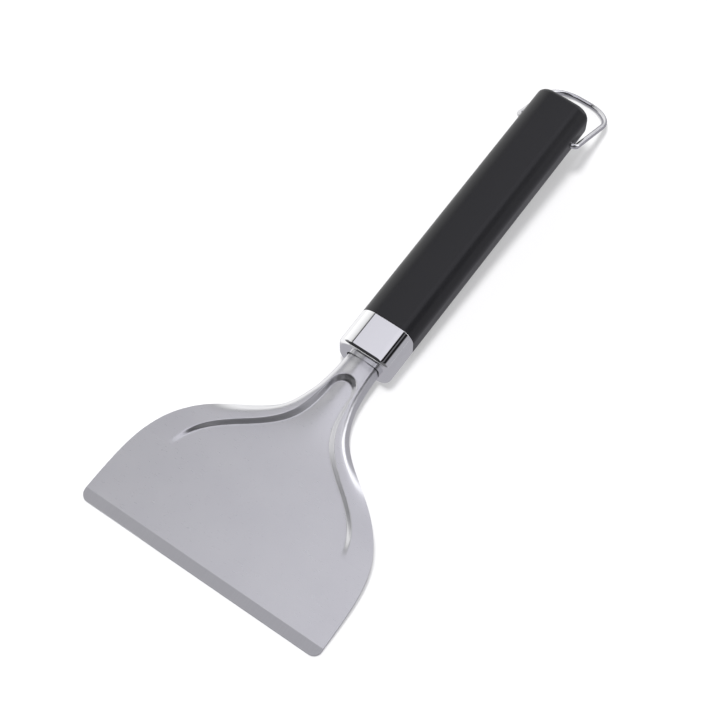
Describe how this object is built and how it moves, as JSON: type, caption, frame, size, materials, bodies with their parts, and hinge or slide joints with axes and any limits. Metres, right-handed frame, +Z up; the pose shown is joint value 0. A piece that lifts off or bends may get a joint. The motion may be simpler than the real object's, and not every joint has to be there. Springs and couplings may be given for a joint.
{
  "type": "grill spatula",
  "caption": "Wide straight-edged griddle spatula: pressed steel blade with arched neck, polished collar, black handle and a swinging wire hanging ring.",
  "frame": {"origin": "middle of the footprint on the surface that the tool rests on, front edge and collar rim down", "axes": "+X from the blade's front edge towards the handle's tail, +Y to the left of the tool, +Z up"},
  "size_m": [0.3152, 0.1268, 0.0333],
  "materials": {
    "satin_steel": "satin",
    "polished_steel": "polished",
    "black_grip": "satin soft touch",
    "core_nylon": "moulded",
    "tang_steel": "mill",
    "ring_steel": "polished wire"
  },
  "bodies": {
    "tool": {"blade": "satin_steel", "collar": "polished_steel", "grip": "black_grip", "handle_core": "core_nylon", "tang": "tang_steel", "tang_pins": "tang_steel"},
    "ring": {"hanging_ring": "ring_steel"}
  },
  "joints": [
    {"name": "ring_swing", "type": "hinge", "parent": "tool", "child": "ring", "pos_m": [0.11611, 0, 0.02157], "axis": [0, 1, 0], "range_deg": [-194, 132]}
  ]
}
